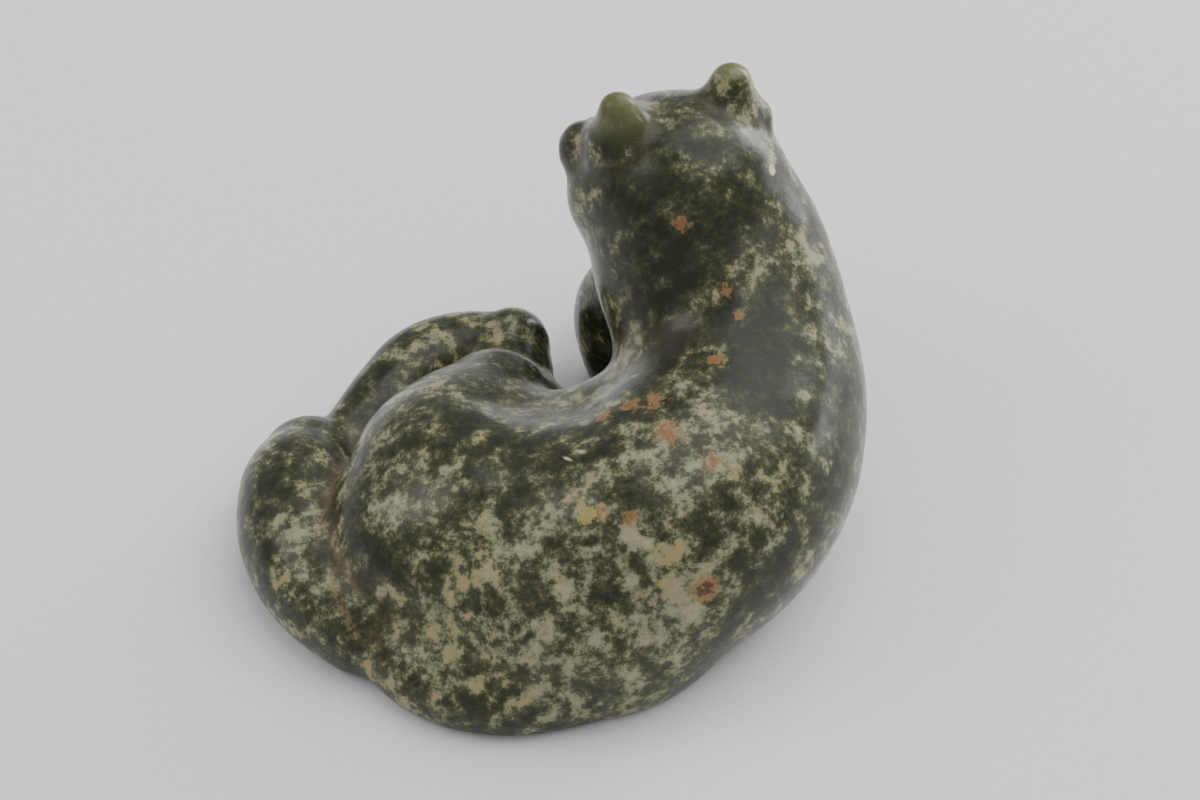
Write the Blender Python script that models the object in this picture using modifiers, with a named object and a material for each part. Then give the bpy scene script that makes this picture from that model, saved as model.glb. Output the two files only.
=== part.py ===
"""A carved soapstone bear that sits curled on its rump, with its head turned down to its feet.

One stone, so one solid. Blender 4.5, metres, +Z up. The origin is on the ground under the middle of
the carving's box. The forms are placed in shares of the carving's length, each a millimetre at its
real size, so LENGTH sizes it all.
"""

import math

import bpy
import bmesh
from mathutils import Vector
from mathutils.bvhtree import BVHTree

# Driving sizes
LENGTH = 0.084
SHARE = LENGTH / 84.0
FINE_VOXEL = 0.75 * SHARE
BODY_VOXEL = 1.1 * SHARE
TRIANGLES = 9000
SLIVER = 0.00005
BODY_ROUNDS = 26
LIMB_ROUNDS = 5

STONE_COLOUR = (0.075, 0.095, 0.055, 1.0)
STONE_ROUGHNESS = 0.32

# Stations of each limb: x, y, z and radius in shares. The camera side is -y, and the feet point to -x.
TORSO = [
    (-7, 18.5, 12, 15.5),
    (4.5, 18, 13, 18.4),
    (13.6, 24, 15.5, 18.3),
    (18.4, 36, 17.5, 17.3),
    (17.8, 46.5, 22.5, 16.2),
    (14.2, 55, 30, 16.2),
    (11.6, 58.3, 36.3, 14.4),
]
NEAR_THIGH = [(-14, 20, 12, 15), (-20, 28, 12, 13.9), (-17.5, 38, 11.5, 10.8), (-14.4, 44, 11.2, 8)]
BELLY = [(-9, 27.5, 10, 10.8), (-2, 30.5, 11.2, 11.8), (6, 32, 13, 13)]
NEAR_FOOT = [
    (-30.5, 11, 5, 7.4),
    (-36, 16.5, 5.6, 8),
    (-39.6, 25, 6, 8.6),
    (-40.3, 33, 6, 8.3),
    (-39.6, 38.6, 5, 6.9),
]
FAR_LEG = [
    (-8, 40, 7, 8),
    (-12, 50, 7, 6),
    (-14, 57.5, 6.5, 6.3),
    (-23.5, 57.5, 5.8, 6.5),
    (-30, 50, 5, 5.9),
    (-35.8, 42.5, 5, 3.8),
]
NEAR_FORELEG = [(11, 57, 20, 9), (4.6, 61.5, 12, 8.6), (4, 59.5, 5.5, 6.6), (4.8, 57.5, 3.4, 5.6)]
FAR_FORELEG = [(18, 58, 24, 11), (15.5, 66.5, 15.5, 8.8), (12.5, 71.5, 8, 7), (8.5, 73, 4.2, 6.2), (5, 73.5, 3, 5)]
SNOUT = [(8, 62, 37, 10.5), (3.6, 67.5, 34.2, 7.3), (0.2, 72.6, 31.4, 5.6)]
EARS = [
    [(3.6, 58.4, 44.5, 6.2), (2.9, 58.1, 48.2, 4.4), (2.3, 57.8, 51.4, 2.8)],
    [(16.4, 62.8, 44, 6.4), (16.9, 63.3, 47.8, 4.6), (17.2, 63.6, 51.2, 3.1)],
]

# Rounded masses: centre and the three radii, in shares
RUMP = ((-3, 18.5, 7.6), (23, 22.8, 18.8))
SKIRT = ((-11.5, 12.8, 3.5), (22, 18.8, 9.5))
NEAR_HIP = ((-17.4, 22.5, 10.5), (18.3, 18, 14.6))
NEAR_CHEEK = ((3.6, 59, 36.4), (8.6, 8, 9))
FAR_CHEEK = ((13.5, 65.5, 35), (8, 7.5, 8.5))
HEAD = ((10.4, 60, 38.2), (14.8, 12.5, 11.6))
KNEE = ((-14.2, 45.8, 12.2), (7, 5.6, 6.2))
FAR_KNEE = ((-12.2, 59, 7.2), (5.4, 5.4, 6.8))
FAR_BROW = ((20.4, 63, 45.8), (2.8, 2.8, 3.2))
NEAR_BROW = ((-2.2, 61.8, 41.6), (3.6, 3.8, 4.2))
WEB = ((-24, 39.5, 2.5), (14, 13, 6.8))
HEEL_WEB = ((-30.5, 27, 2), (9, 11, 5.6))
FOLD = ((-8.5, 34.5, 13), (8, 8, 7.5))

# The head's own directions: where the nose points, and across from the near ear to the far ear
FACING = Vector((-0.5, 0.73, -0.46)).normalized()
ACROSS = Vector((14.8, 5.7, -0.7)).normalized()
CROWN = ACROSS.cross(FACING).normalized()
EYE_MIDDLE = -2.2
EYE_APART = 4.8
EYE_RISE = 7.4
LIP_DROP = 2.6
LIP_RISE = 1.5
LIP_CURL = 0.55

# Width to each side and depth of what is pressed into the skin, in shares
SOCKET = (2.7, 1.4)
EAR_DISH = (2.5, 1.3)
MOUTH = (1.1, 0.5)
TOE_GROOVE = (1.1, 0.75)
FOOT_GROOVE = (1.9, 0.6)
TOES = 4
TOE_SPREAD = 1.1
FOOT_GROOVE_PATH = [(-35.5, 29, 12), (-33, 19, 13), (-31.5, 10.5, 12), (-29, 3.5, 8.2)]


def share(point):
    return Vector(point) * SHARE


def clear_scene():
    for obj in list(bpy.data.objects):
        bpy.data.objects.remove(obj, do_unlink=True)


def new_collection(name):
    collection = bpy.data.collections.new(name)
    bpy.context.scene.collection.children.link(collection)
    return collection


def add_mesh(name, bm, collection):
    mesh = bpy.data.meshes.new(name)
    bm.to_mesh(mesh)
    bm.free()
    obj = bpy.data.objects.new(name, mesh)
    collection.objects.link(obj)
    return obj


def add_ball(bm, centre, radii):
    """Adds an ellipsoid, in metres, to the mesh being built."""
    made = bmesh.ops.create_icosphere(bm, subdivisions=4, radius=1.0)
    for vert in made["verts"]:
        vert.co = Vector(a * b for a, b in zip(vert.co, radii)) + Vector(centre)


def add_limb(bm, stations):
    """Adds a tapered round limb that runs smoothly through its stations, with round ends."""
    curve = bpy.data.curves.new("limb_path", "CURVE")
    curve.dimensions = "3D"
    curve.bevel_depth = 1.0
    curve.bevel_resolution = 8
    curve.resolution_u = 10
    curve.use_fill_caps = True
    spline = curve.splines.new("BEZIER")
    spline.bezier_points.add(len(stations) - 1)
    for point, (x, y, z, radius) in zip(spline.bezier_points, stations):
        point.co = share((x, y, z))
        point.radius = radius * SHARE
        point.handle_left_type = "AUTO"
        point.handle_right_type = "AUTO"
    guide = bpy.data.objects.new("limb_path", curve)
    bpy.context.scene.collection.objects.link(guide)
    graph = bpy.context.evaluated_depsgraph_get()
    mesh = bpy.data.meshes.new_from_object(guide.evaluated_get(graph))
    bm.from_mesh(mesh)
    bpy.data.objects.remove(guide, do_unlink=True)
    bpy.data.meshes.remove(mesh)
    for x, y, z, radius in (stations[0], stations[-1]):
        add_ball(bm, share((x, y, z)), [radius * SHARE] * 3)


def applied(obj):
    """The object's mesh with its modifiers applied, as a new editable mesh."""
    graph = bpy.context.evaluated_depsgraph_get()
    bm = bmesh.new()
    bm.from_object(obj, graph)
    bpy.data.objects.remove(obj, do_unlink=True)
    return bm


def melted(name, bm, voxel, rounds, helpers):
    """Melts overlapping forms into one skin and rubs it smooth."""
    bmesh.ops.remove_doubles(bm, verts=bm.verts, dist=0.00001)
    obj = add_mesh(name, bm, helpers)
    remesh = obj.modifiers.new("melt", "REMESH")
    remesh.mode = "VOXEL"
    remesh.voxel_size = voxel
    smooth = obj.modifiers.new("rub", "SMOOTH")
    smooth.factor = 0.5
    smooth.iterations = rounds
    return applied(obj)


def bear_skin(helpers):
    body = bmesh.new()
    add_limb(body, TORSO)
    add_limb(body, NEAR_THIGH)
    add_limb(body, BELLY)
    for centre, radii in (RUMP, SKIRT, NEAR_HIP, FOLD, HEAD, NEAR_CHEEK, FAR_CHEEK):
        add_ball(body, share(centre), [r * SHARE for r in radii])
    whole = melted("body_forms", body, BODY_VOXEL, BODY_ROUNDS, helpers)
    for stations in (NEAR_FOOT, FAR_LEG, NEAR_FORELEG, FAR_FORELEG, SNOUT, *EARS):
        add_limb(whole, stations)
    for centre, radii in (KNEE, FAR_KNEE, FAR_BROW, NEAR_BROW, WEB, HEEL_WEB):
        add_ball(whole, share(centre), [r * SHARE for r in radii])
    skin = melted("limb_forms", whole, FINE_VOXEL, LIMB_ROUNDS, helpers)
    carve_face(skin)
    carve_feet(skin)
    return skin


def press(bm, path, width, depth):
    """Sinks the skin along a path, most at its middle and nothing a width away."""
    for vert in bm.verts:
        away = min(distance_to(vert.co, a, b) for a, b in zip(path, path[1:]))
        if away < width:
            vert.co -= vert.normal * depth * (1.0 - (away / width) ** 2) ** 2
    bm.normal_update()


def distance_to(point, start, end):
    """How far a point is from the straight stretch between two others."""
    along = end - start
    reach = 0.0 if along.length == 0 else (point - start).dot(along) / along.length_squared
    return (point - start - along * min(1.0, max(0.0, reach))).length


def on_skin(tree, start, direction):
    """Where a straight line from a point outside first meets the skin."""
    return tree.ray_cast(start, direction)[0]


def face_point(tree, across, crown):
    """The point of the face that many shares across and up from the middle of the head."""
    start = share(HEAD[0]) + (FACING * 40 + ACROSS * across + CROWN * crown) * SHARE
    return on_skin(tree, start, -FACING)


def carve_face(bm):
    """Sockets for the eyes, a mouth line round the muzzle and a dish in the front of each ear."""
    tree = BVHTree.FromBMesh(bm)
    nose = share(SNOUT[-1][:3])
    eyes = [face_point(tree, EYE_MIDDLE + side * EYE_APART, EYE_RISE) for side in (-1, 1)]
    lips = []
    for angle in range(-150, 151, 30):
        turn = math.radians(angle)
        outward = FACING * math.cos(turn * LIP_CURL) + ACROSS * math.sin(turn * LIP_CURL)
        back = -FACING * abs(turn) * LIP_RISE - CROWN * LIP_DROP
        lips.append(nose + (outward * SNOUT[-1][3] + back) * SHARE)
    dishes = [share(ear[1][:3]) + FACING * ear[1][3] * SHARE for ear in EARS]
    for eye in eyes:
        press(bm, [eye, eye], SOCKET[0] * SHARE, SOCKET[1] * SHARE)
    press(bm, lips, MOUTH[0] * SHARE, MOUTH[1] * SHARE)
    for dish in dishes:
        press(bm, [dish, dish + CROWN * SHARE], EAR_DISH[0] * SHARE, EAR_DISH[1] * SHARE)


def carve_toes(bm, foot, forward):
    """Short grooves over the end of a foot that part its toes."""
    x, y, z, radius = foot
    ahead = Vector(forward).normalized()
    sideways = ahead.cross(Vector((0, 0, 1)))
    spread = TOE_SPREAD * radius / TOES
    for index in range(TOES - 1):
        offset = (index - (TOES - 2) / 2) * spread
        path = []
        for angle in (70, 45, 20, -5, -30):
            turn = math.radians(angle)
            out = ahead * math.cos(turn) + Vector((0, 0, math.sin(turn)))
            path.append((Vector((x, y, z)) + out * radius + sideways * offset) * SHARE)
        press(bm, path, TOE_GROOVE[0] * SHARE, TOE_GROOVE[1] * SHARE)


def carve_feet(bm):
    carve_toes(bm, FAR_FORELEG[-1], (-1, 0.1, 0))
    carve_toes(bm, NEAR_FORELEG[-1], (-0.4, -1, 0))
    path = [share(point) for point in FOOT_GROOVE_PATH]
    press(bm, path, FOOT_GROOVE[0] * SHARE, FOOT_GROOVE[1] * SHARE)


def faceted(name, bm, triangles, helpers):
    """The same skin with fewer, larger facets, small only where it curves tightly."""
    bmesh.ops.triangulate(bm, faces=bm.faces)
    share_kept = min(1.0, triangles / len(bm.faces))
    obj = add_mesh(name, bm, helpers)
    fewer = obj.modifiers.new("facets", "DECIMATE")
    fewer.ratio = share_kept
    return applied(obj)


def cut_flat(bm):
    """Cuts the underside flat at the ground and drops the slivers that the cut leaves."""
    cut = bmesh.ops.bisect_plane(
        bm,
        geom=bm.verts[:] + bm.edges[:] + bm.faces[:],
        plane_co=(0, 0, 0),
        plane_no=(0, 0, -1),
        clear_outer=True,
    )
    rim = [e for e in cut["geom_cut"] if isinstance(e, bmesh.types.BMEdge)]
    bmesh.ops.triangle_fill(bm, edges=rim, use_beauty=True, use_dissolve=False)
    bmesh.ops.remove_doubles(bm, verts=bm.verts, dist=SLIVER)
    bmesh.ops.recalc_face_normals(bm, faces=bm.faces)


def centre_on_ground(bm):
    """Moves the mesh so that the origin is on the ground under the middle of its box."""
    low = Vector(min(v.co[i] for v in bm.verts) for i in range(3))
    high = Vector(max(v.co[i] for v in bm.verts) for i in range(3))
    shift = Vector((-(low.x + high.x) / 2, -(low.y + high.y) / 2, -low.z))
    bmesh.ops.translate(bm, verts=bm.verts, vec=shift)
    return shift


def stone_material():
    material = bpy.data.materials.new("polished_soapstone")
    material.use_nodes = True
    shader = material.node_tree.nodes["Principled BSDF"]
    shader.inputs["Base Color"].default_value = STONE_COLOUR
    shader.inputs["Roughness"].default_value = STONE_ROUGHNESS
    shader.inputs["Metallic"].default_value = 0.0
    return material


clear_scene()
parts = new_collection("soapstone_bear")
helpers = new_collection("helpers")
skin = bear_skin(helpers)
skin = faceted("facets", skin, TRIANGLES, helpers)
cut_flat(skin)
moved = centre_on_ground(skin)
bear = add_mesh("bear_carving", skin, parts)
bear.data.materials.append(stone_material())
bear.data.shade_smooth()
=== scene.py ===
"""Dresses a packed soapstone bear: one finely rubbed stone skin, its carved face, and a plain stage."""

import math

import bmesh
import bpy
from bpy.props import FloatProperty, FloatVectorProperty, IntProperty, PointerProperty
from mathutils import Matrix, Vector
from mathutils.bvhtree import BVHTree


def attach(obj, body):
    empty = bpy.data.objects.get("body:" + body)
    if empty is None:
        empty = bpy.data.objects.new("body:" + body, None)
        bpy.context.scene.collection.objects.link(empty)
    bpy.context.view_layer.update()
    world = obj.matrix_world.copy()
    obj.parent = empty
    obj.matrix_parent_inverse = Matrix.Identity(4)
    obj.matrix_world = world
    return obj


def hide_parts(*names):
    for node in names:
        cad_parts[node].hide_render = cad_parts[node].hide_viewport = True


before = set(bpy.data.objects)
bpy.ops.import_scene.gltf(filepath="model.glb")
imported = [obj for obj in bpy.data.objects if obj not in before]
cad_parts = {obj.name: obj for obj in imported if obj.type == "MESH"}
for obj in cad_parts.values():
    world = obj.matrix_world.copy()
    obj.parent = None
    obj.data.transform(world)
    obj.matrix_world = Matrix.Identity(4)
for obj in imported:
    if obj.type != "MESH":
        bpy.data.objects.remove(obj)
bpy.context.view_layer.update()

bl_info = {
    "name": "Soapstone Bear",
    "version": (1, 0, 0),
    "blender": (4, 5, 0),
    "location": "View3D > Sidebar > Bear",
    "description": "Makes the polished stone skin of a small carved bear and a pale stage for it",
    "category": "Object",
}

MM = 0.001
NODE = "bear_carving"
BODY = "root"

# The head, in millimetres from the carving's own centre on the ground
HEAD = Vector((16.98, 23.25, 38.2))
FACING = Vector((-0.5, 0.73, -0.46)).normalized()
ACROSS = Vector((14.8, 5.7, -0.7)).normalized()
CROWN = ACROSS.cross(FACING).normalized()
SNOUT_TIP = Vector((6.78, 35.85, 31.4))


def linear(red, green, blue):
    """A colour given as it looks on a screen, from 0 to 255, in the renderer's linear values."""
    def one(level):
        level = level / 255.0
        return level / 12.92 if level <= 0.04045 else ((level + 0.055) / 1.055) ** 2.4

    return (one(red), one(green), one(blue), 1.0)


class BearSkinSettings(bpy.types.PropertyGroup):
    voxel: FloatProperty(
        name="Skin cell",
        description="Side of the small cells that the rubbed skin is made of",
        default=0.62 * MM,
        unit="LENGTH",
        precision=5,
    )
    rub_rounds: IntProperty(
        name="Rubbing", description="How many times the skin is rubbed smooth", default=8, min=0
    )
    hollow_reach: FloatProperty(
        name="Dust reach",
        description="How far from a groove's bottom the dust in it is seen",
        default=1.6 * MM,
        unit="LENGTH",
        precision=5,
    )


class BearStoneSettings(bpy.types.PropertyGroup):
    dark: FloatVectorProperty(
        name="Dark green",
        description="The darkest of the stone's ground",
        subtype="COLOR",
        size=4,
        default=linear(37, 39, 25),
    )
    olive: FloatVectorProperty(
        name="Olive",
        description="The stone's middle green",
        subtype="COLOR",
        size=4,
        default=linear(72, 73, 50),
    )
    pale: FloatVectorProperty(
        name="Pale blotch",
        description="Pale grey-green blotches",
        subtype="COLOR",
        size=4,
        default=linear(128, 130, 100),
    )
    tan: FloatVectorProperty(
        name="Tan blotch",
        description="Warmer blotches among the pale ones",
        subtype="COLOR",
        size=4,
        default=linear(152, 138, 98),
    )
    rust: FloatVectorProperty(
        name="Rust",
        description="Small orange-brown spots",
        subtype="COLOR",
        size=4,
        default=linear(132, 84, 46),
    )
    dust: FloatVectorProperty(
        name="Dust",
        description="Pinkish dust left in the grooves",
        subtype="COLOR",
        size=4,
        default=linear(116, 100, 78),
    )
    roughness: FloatProperty(
        name="Roughness", description="How dull the polish is", default=0.23, min=0.0, max=1.0
    )


class BearStageSettings(bpy.types.PropertyGroup):
    floor_side: FloatProperty(
        name="Floor side", description="Side of the square floor", default=3.0, unit="LENGTH"
    )
    lens: FloatProperty(
        name="Lens", description="Focal length on a 36 mm wide frame", default=84.0, unit="CAMERA"
    )
    elevation: FloatProperty(
        name="Camera elevation",
        description="How steeply the camera looks down",
        default=math.radians(45.0),
        subtype="ANGLE",
    )
    distance: FloatProperty(
        name="Camera distance",
        description="From the camera to the point that it looks at",
        default=0.3584,
        unit="LENGTH",
        precision=4,
    )


def copied_node(name):
    """A new object with a copy of the solid's mesh."""
    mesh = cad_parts[NODE].data.copy()
    mesh.materials.clear()
    obj = bpy.data.objects.new(name, mesh)
    bpy.context.scene.collection.objects.link(obj)
    return obj


def bake_modifiers(obj):
    graph = bpy.context.evaluated_depsgraph_get()
    mesh = bpy.data.meshes.new_from_object(obj.evaluated_get(graph))
    old = obj.data
    obj.modifiers.clear()
    obj.data = mesh
    bpy.data.meshes.remove(old)


def rubbed_skin(settings):
    """The solid's facets melted into an even fine skin and rubbed smooth, flat at the ground."""
    obj = copied_node("bear_stone")
    remesh = obj.modifiers.new("even skin", "REMESH")
    remesh.mode = "VOXEL"
    remesh.voxel_size = settings.voxel
    smooth = obj.modifiers.new("rub", "SMOOTH")
    smooth.factor = 0.5
    smooth.iterations = settings.rub_rounds
    bake_modifiers(obj)
    for vert in obj.data.vertices:
        vert.co.z = max(vert.co.z, 0.0)
    return obj


def mark_hollows(obj, reach):
    """Stores how hollow each point is, from 0 on open skin to 1 deep in a groove."""
    mesh = obj.data
    bm = bmesh.new()
    bm.from_mesh(mesh)
    level = [v.co.copy() for v in bm.verts]
    rounds = max(1, round((reach / 0.0006) ** 2))
    for _ in range(min(rounds, 12)):
        level = [
            sum((level[e.other_vert(v).index] for e in v.link_edges), Vector()) / len(v.link_edges)
            for v in bm.verts
        ]
    hollow = mesh.attributes.new("hollow", "FLOAT", "POINT")
    for v in bm.verts:
        rise = (level[v.index] - v.co).dot(v.normal)
        hollow.data[v.index].value = min(1.0, max(0.0, rise / (0.35 * MM)))
    bm.free()


def swell(mesh, centre, reach, height):
    """Raises the skin about a point, or sinks it where the height is below nothing."""
    for vert in mesh.vertices:
        away = (vert.co - centre).length / reach
        if away < 1.0:
            vert.co += vert.normal * height * (1.0 - away * away) ** 2


def carve_face(obj):
    """Low domes for the eyes with a lid line over them, a nose pad and two nostrils."""
    mesh = obj.data
    bm = bmesh.new()
    bm.from_mesh(mesh)
    tree = BVHTree.FromBMesh(bm)
    bm.free()

    def on_face(across, crown):
        start = HEAD + FACING * 40.0 + ACROSS * across + CROWN * crown
        return tree.ray_cast(start * MM, -FACING)[0]

    for across in (-7.0, 2.6):
        eye = on_face(across, 7.4)
        swell(mesh, eye, 1.3 * MM, 0.75 * MM)
        swell(mesh, eye + CROWN * 1.7 * MM, 1.1 * MM, 0.35 * MM)
    pad = tree.find_nearest((SNOUT_TIP + FACING * 5.0 + CROWN * 1.8) * MM)[0]
    swell(mesh, pad, 2.9 * MM, 0.5 * MM)
    for side in (-1.0, 1.0):
        nostril = tree.find_nearest(pad + (ACROSS * side * 1.3 - CROWN * 0.3) * MM)[0]
        swell(mesh, nostril, 0.8 * MM, -0.75 * MM)


class BEAR_OT_stone(bpy.types.Operator):
    """Make the carved stone skin and give it its finish"""

    bl_idname = "bear.stone"
    bl_label = "Carved Stone"

    def execute(self, context):
        scene = context.scene
        bear = rubbed_skin(scene.bear_skin)
        carve_face(bear)
        mark_hollows(bear, scene.bear_skin.hollow_reach)
        bear.data.shade_smooth()
        bear.data.materials.append(stone_material(scene.bear_stone))
        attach(bear, BODY)
        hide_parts(NODE)
        return {"FINISHED"}


class Net:
    """Short ways to add the nodes that a material needs."""

    def __init__(self, tree):
        self.tree = tree
        self.nodes = tree.nodes
        self.links = tree.links

    def add(self, kind, **values):
        node = self.nodes.new(kind)
        for key, value in values.items():
            setattr(node, key, value)
        return node

    def link(self, source, target):
        self.links.new(source, target)

    def set(self, socket, value):
        if isinstance(value, bpy.types.NodeSocket):
            self.link(value, socket)
        else:
            socket.default_value = value

    def noise(self, place, scale, detail=4.0, rough=0.55, warp=0.0):
        node = self.add("ShaderNodeTexNoise")
        self.link(place, node.inputs["Vector"])
        node.inputs["Scale"].default_value = scale
        node.inputs["Detail"].default_value = detail
        node.inputs["Roughness"].default_value = rough
        node.inputs["Distortion"].default_value = warp
        return node.outputs["Fac"]

    def math(self, kind, a, b=0.0, clamp=False):
        node = self.add("ShaderNodeMath", operation=kind, use_clamp=clamp)
        self.set(node.inputs[0], a)
        self.set(node.inputs[1], b)
        return node.outputs[0]

    def step(self, value, low, high, out_low=0.0, out_high=1.0):
        node = self.add("ShaderNodeMapRange", interpolation_type="SMOOTHSTEP")
        self.set(node.inputs["Value"], value)
        for key, number in (
            ("From Min", low), ("From Max", high), ("To Min", out_low), ("To Max", out_high)
        ):
            self.set(node.inputs[key], number)
        return node.outputs["Result"]

    def mix(self, factor, a, b):
        node = self.add("ShaderNodeMix", data_type="RGBA")
        self.set(node.inputs[0], factor)
        self.set(node.inputs[6], a)
        self.set(node.inputs[7], b)
        return node.outputs[2]

    def shifted(self, place, offset):
        node = self.add("ShaderNodeVectorMath", operation="ADD")
        self.link(place, node.inputs[0])
        node.inputs[1].default_value = offset
        return node.outputs[0]

    def stretched(self, place, turn, size):
        node = self.add("ShaderNodeMapping")
        self.link(place, node.inputs["Vector"])
        node.inputs["Rotation"].default_value = turn
        node.inputs["Scale"].default_value = size
        return node.outputs[0]

    def near(self, place, centre, radii, soft=0.5):
        """1 inside an oval zone about a point, falling to 0 at its edge. Sizes in millimetres."""
        moved = self.shifted(place, [-c * MM for c in centre])
        sized = self.stretched(moved, (0, 0, 0), [1.0 / (r * MM) for r in radii])
        node = self.add("ShaderNodeVectorMath", operation="LENGTH")
        self.link(sized, node.inputs[0])
        return self.step(node.outputs["Value"], 1.0, soft)

    def dot(self, a, b):
        node = self.add("ShaderNodeVectorMath", operation="DOT_PRODUCT")
        self.set(node.inputs[0], a)
        self.set(node.inputs[1], b)
        return node.outputs["Value"]

    def line(self, place, start, end, width):
        """1 along a straight stretch and 0 a width away from it. Sizes in millimetres."""
        start, end = Vector(start) * MM, Vector(end) * MM
        along = end - start
        from_start = self.shifted(place, -start)
        reach = self.math("MULTIPLY", self.dot(from_start, along), 1.0 / along.length_squared, clamp=True)
        foot = self.add("ShaderNodeVectorMath", operation="SCALE")
        foot.inputs[0].default_value = along
        self.set(foot.inputs["Scale"], reach)
        gap = self.add("ShaderNodeVectorMath", operation="DISTANCE")
        self.link(from_start, gap.inputs[0])
        self.link(foot.outputs[0], gap.inputs[1])
        return self.step(gap.outputs["Value"], width * MM, 0.3 * width * MM)

    def ramp(self, value, stops):
        node = self.add("ShaderNodeValToRGB")
        self.link(value, node.inputs["Fac"])
        band = node.color_ramp
        band.elements[0].position, band.elements[0].color = stops[0]
        band.elements[1].position, band.elements[1].color = stops[-1]
        for position, colour in stops[1:-1]:
            band.elements.new(position).color = colour
        return node.outputs["Color"]


# Zones of the stone: centre, radii, and how much paler or darker its pattern is there
ZONES = [
    (((3, -33, 21), (24, 18, 24)), 0.055),
    (((-31, -14, 10), (12, 24, 14)), 0.01),
    (((36, -2, 26), (9, 24, 20)), -0.02),
    (((5, -13, 28), (17, 10, 10)), -0.025),
    (((26.5, -6, 35), (8, 16, 10)), -0.12),
    (((17, 16, 44), (18, 22, 14)), -0.07),
    (((14, -3, 34), (10, 10, 12)), -0.04),
]

# Spots: centre, reach in millimetres and colour
RUST_SPOTS = [
    ((17.1, 9.0, 42.6), 1.3),
    ((22.8, 2.6, 36.9), 1.0),
    ((24.3, -0.4, 35.3), 0.9),
    ((21.4, -7.0, 33.7), 1.6),
    ((13.5, -12.9, 32.3), 1.7),
    ((10.5, -12.6, 31.0), 1.5),
    ((15.0, -18.4, 32.2), 2.3),
    ((7.0, -12.6, 29.4), 1.6),
    ((20.4, -22.5, 31.0), 1.6),
    ((6.6, -27.7, 27.6), 1.2),
    ((10.5, -28.7, 27.8), 1.3),
    ((-6.0, -31.0, 24.0), 1.0),
    ((12.0, -36.5, 20.0), 0.9),
]
BROWN_SPOT = ((19.6, -33.7, 19.9), 2.0)
YELLOW_SPOT = ((4.9, -27.9, 27.1), 1.5)
CHIP = ((29.0, 17.5, 44.3), (1.1, 1.5, 1.3))
NEAR_EAR = ((9.2, 21.2, 51.0), (5.0, 5.0, 7.0))
FAR_EAR_TIP = ((23.8, 26.9, 54.0), (3.0, 3.0, 2.4))
SCRATCHES = [
    ((2.0, -19.0, 28.4), (4.8, -21.4, 28.4)),
    ((3.6, -18.4, 29.0), (7.0, -20.6, 29.2)),
]
HEEL_LINE = [(-29.0, -20.5, 15.0), (-27.2, -27.0, 12.0), (-24.5, -32.0, 9.0), (-20.8, -33.5, 9.0), (-19.6, -30.5, 12.5)]


def stone_pattern(net, place, settings):
    """The stone's ground: dark olive with ragged lighter blotches, more of them in the paler zones."""
    shift = 0.0
    for zone, amount in ZONES:
        shift = net.math("ADD", net.math("MULTIPLY", net.near(place, *zone, 0.35), amount), shift)
    coarse = net.noise(place, 330.0, 9.0, 0.74)
    drift = net.noise(net.shifted(place, (0.31, 0.12, 0.73)), 70.0, 2.0, 0.5)
    level = net.math("ADD", coarse, net.math("MULTIPLY", net.math("SUBTRACT", drift, 0.5), 0.3))
    level = net.math("ADD", level, shift)
    light = linear(104, 105, 78)
    ground = net.ramp(
        level,
        [
            (0.37, settings.dark),
            (0.46, linear(52, 54, 36)),
            (0.52, settings.olive),
            (0.56, light),
            (0.585, settings.pale),
            (0.68, linear(156, 152, 120)),
        ],
    )
    warm = net.step(net.noise(net.shifted(place, (0.5, 0.2, 0.1)), 110.0, 4.0, 0.6), 0.48, 0.60)
    warm = net.math("MULTIPLY", warm, net.step(level, 0.56, 0.63))
    return net.mix(warm, ground, settings.tan), shift


def stone_marks(net, place, colour, settings):
    """Rust flecks, the yellow and brown spots, the chip, the scratches and the line round the heel."""
    crumbs = net.noise(place, 1300.0, 5.0, 0.8)
    rim = linear(150, 118, 80)
    for centre, radius in RUST_SPOTS:
        zone = net.math("MULTIPLY", net.near(place, centre, [radius * 2.1] * 3, 0.0), 0.6)
        mark = net.math("ADD", zone, net.math("MULTIPLY", crumbs, 1.6))
        colour = net.mix(net.step(mark, 1.16, 1.3, 0.0, 0.65), colour, rim)
        colour = net.mix(net.step(mark, 1.34, 1.46, 0.0, 0.85), colour, settings.rust)
    centre, radius = BROWN_SPOT
    zone = net.math("ADD", net.near(place, centre, [radius * 1.9] * 3, 0.0), net.math("MULTIPLY", crumbs, 1.8))
    colour = net.mix(net.step(zone, 1.3, 1.5, 0.0, 0.8), colour, rim)
    colour = net.mix(net.step(zone, 1.65, 1.8, 0.0, 0.85), colour, linear(66, 46, 30))
    centre, radius = YELLOW_SPOT
    zone = net.math("ADD", net.near(place, centre, [radius * 1.8] * 3, 0.0), net.math("MULTIPLY", crumbs, 2.2))
    colour = net.mix(net.step(zone, 1.55, 1.85, 0.0, 0.75), colour, linear(170, 156, 94))
    zone = net.math("ADD", net.near(place, *CHIP, 0.0), net.math("MULTIPLY", crumbs, 1.1))
    colour = net.mix(net.step(zone, 0.95, 1.02), colour, linear(196, 188, 166))
    for zone in (NEAR_EAR, FAR_EAR_TIP):
        colour = net.mix(net.math("MULTIPLY", net.near(place, *zone, 0.3), 0.75), colour, linear(110, 112, 72))
    for start, end in SCRATCHES:
        mark = net.math("MULTIPLY", net.line(place, start, end, 0.3), net.step(crumbs, 0.32, 0.5))
        colour = net.mix(mark, colour, linear(184, 168, 150))
    for start, end in zip(HEEL_LINE, HEEL_LINE[1:]):
        mark = net.math("MULTIPLY", net.line(place, start, end, 0.9), net.step(crumbs, 0.4, 0.6, 0.0, 0.6))
        colour = net.mix(mark, colour, linear(140, 116, 84))
    return colour


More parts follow.
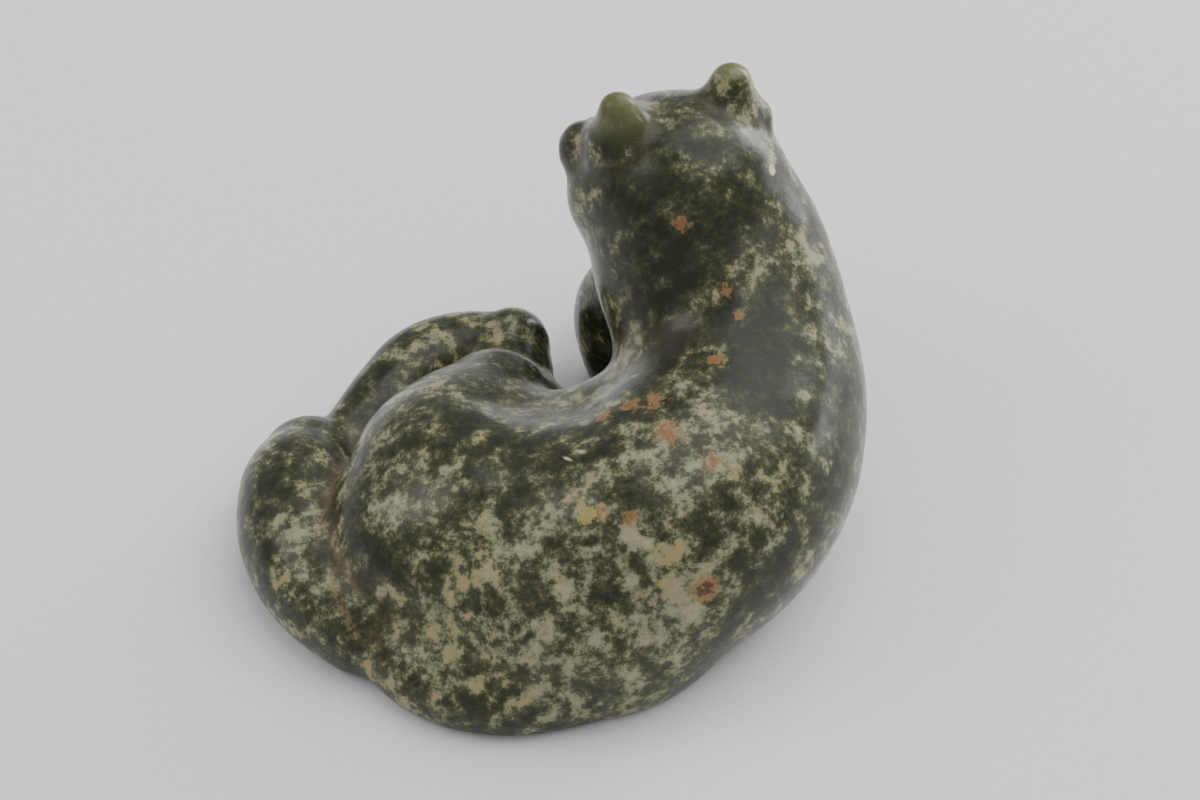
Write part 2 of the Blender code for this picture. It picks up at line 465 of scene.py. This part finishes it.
def stone_material(settings):
    material = bpy.data.materials.new("polished_soapstone")
    material.use_nodes = True
    net = Net(material.node_tree)
    shader = net.nodes["Principled BSDF"]
    place = net.add("ShaderNodeTexCoord").outputs["Object"]
    colour, shift = stone_pattern(net, place, settings)
    colour = stone_marks(net, place, colour, settings)

    hollow = net.add("ShaderNodeAttribute", attribute_name="hollow").outputs["Fac"]
    dust = net.math("MULTIPLY", hollow, net.step(net.noise(place, 600.0, 5.0), 0.3, 0.6, 0.3, 1.0))
    colour = net.mix(net.math("MULTIPLY", dust, 0.7), colour, settings.dust)
    net.link(colour, shader.inputs["Base Color"])
    shader.inputs["Specular IOR Level"].default_value = 0.28

    dull = net.step(net.noise(place, 260.0, 6.0, 0.65), 0.35, 0.7, -0.05, 0.10)
    rough = net.math("ADD", dull, settings.roughness)
    rough = net.math("ADD", rough, net.math("MULTIPLY", dust, 0.35), clamp=True)
    net.link(rough, shader.inputs["Roughness"])

    bump = net.add("ShaderNodeBump")
    bump.inputs["Strength"].default_value = 0.12
    bump.inputs["Distance"].default_value = 0.0003
    net.link(net.noise(place, 1100.0, 6.0, 0.7), bump.inputs["Height"])
    net.link(bump.outputs[0], shader.inputs["Normal"])
    return material


def floor_material():
    material = bpy.data.materials.new("plain_paper")
    material.use_nodes = True
    net = Net(material.node_tree)
    shader = net.nodes["Principled BSDF"]
    place = net.add("ShaderNodeTexCoord").outputs["Object"]
    tone = net.step(net.noise(place, 900.0, 5.0, 0.6), 0.3, 0.7)
    net.link(net.mix(tone, linear(237, 237, 237), linear(242, 242, 242)), shader.inputs["Base Color"])
    shader.inputs["Roughness"].default_value = 0.75
    bump = net.add("ShaderNodeBump")
    bump.inputs["Strength"].default_value = 0.1
    bump.inputs["Distance"].default_value = 0.0002
    net.link(net.noise(place, 1500.0, 5.0, 0.7), bump.inputs["Height"])
    net.link(bump.outputs[0], shader.inputs["Normal"])
    return material


def add_softbox(name, place, target, width, height, power, colour=(1.0, 1.0, 1.0)):
    lamp = bpy.data.lights.new(name, "AREA")
    lamp.shape = "RECTANGLE"
    lamp.size = width
    lamp.size_y = height
    lamp.energy = power
    lamp.color = colour
    obj = bpy.data.objects.new(name, lamp)
    bpy.context.scene.collection.objects.link(obj)
    obj.location = place
    obj.rotation_euler = (Vector(target) - Vector(place)).to_track_quat("-Z", "Y").to_euler()
    return obj


def add_camera(settings):
    """The photograph's own view: from the near side, looking down at the carving's middle."""
    aim = Vector((6.58, -8.69, 28.06)) * MM
    down = settings.elevation
    ahead = Vector((0.0, math.cos(down), -math.sin(down)))
    data = bpy.data.cameras.new("camera")
    data.lens = settings.lens
    data.sensor_width = 36.0
    data.clip_start = 0.01
    camera = bpy.data.objects.new("camera", data)
    bpy.context.scene.collection.objects.link(camera)
    camera.location = aim - ahead * settings.distance
    camera.rotation_euler = (math.radians(90.0) - down, 0.0, 0.0)
    bpy.context.scene.camera = camera


class BEAR_OT_stage(bpy.types.Operator):
    """Make the pale floor, the soft lights and the camera"""

    bl_idname = "bear.stage"
    bl_label = "Stage"

    def execute(self, context):
        settings = context.scene.bear_stage
        half = settings.floor_side / 2.0
        bm = bmesh.new()
        bmesh.ops.create_grid(bm, x_segments=1, y_segments=1, size=half)
        mesh = bpy.data.meshes.new("floor")
        bm.to_mesh(mesh)
        bm.free()
        floor = bpy.data.objects.new("floor", mesh)
        context.scene.collection.objects.link(floor)
        floor.data.materials.append(floor_material())
        add_softbox("ceiling", (0.40, 0.28, 1.15), (0, 0, 0), 1.4, 1.4, 12.5, (1.0, 1.0, 1.0))
        add_softbox("window", (0.84, 0.77, 0.34), (0, 0, 0.02), 0.4, 0.7, 7.5, (0.96, 0.98, 1.0))
        add_softbox("right", (1.0, 0.30, 0.14), (0, 0, 0.02), 0.35, 0.18, 1.2, (0.96, 0.98, 1.0))
        add_softbox("side", (-0.75, 0.03, 0.71), (0, 0, 0.02), 0.45, 0.45, 2.0, (1.0, 0.97, 0.95))
        world = bpy.data.worlds.new("studio")
        world.use_nodes = True
        world.node_tree.nodes["Background"].inputs["Color"].default_value = (0.95, 0.96, 1.0, 1.0)
        world.node_tree.nodes["Background"].inputs["Strength"].default_value = 0.56
        context.scene.world = world
        add_camera(settings)
        return {"FINISHED"}


class BEAR_PT_panel(bpy.types.Panel):
    bl_label = "Soapstone Bear"
    bl_idname = "BEAR_PT_panel"
    bl_space_type = "VIEW_3D"
    bl_region_type = "UI"
    bl_category = "Bear"

    def draw(self, context):
        layout = self.layout
        scene = context.scene
        for group in (scene.bear_skin, scene.bear_stone, scene.bear_stage):
            box = layout.box()
            for name in group.__annotations__:
                box.prop(group, name)
        layout.operator(BEAR_OT_stone.bl_idname)
        layout.operator(BEAR_OT_stage.bl_idname)


CLASSES = (
    BearSkinSettings, BearStoneSettings, BearStageSettings, BEAR_OT_stone, BEAR_OT_stage, BEAR_PT_panel
)


def register():
    for cls in CLASSES:
        bpy.utils.register_class(cls)
    bpy.types.Scene.bear_skin = PointerProperty(type=BearSkinSettings)
    bpy.types.Scene.bear_stone = PointerProperty(type=BearStoneSettings)
    bpy.types.Scene.bear_stage = PointerProperty(type=BearStageSettings)


def unregister():
    for name in ("bear_stage", "bear_stone", "bear_skin"):
        delattr(bpy.types.Scene, name)
    for cls in reversed(CLASSES):
        bpy.utils.unregister_class(cls)


def main():
    register()
    bpy.ops.bear.stone()
    bpy.ops.bear.stage()


if __name__ == "__main__":
    main()
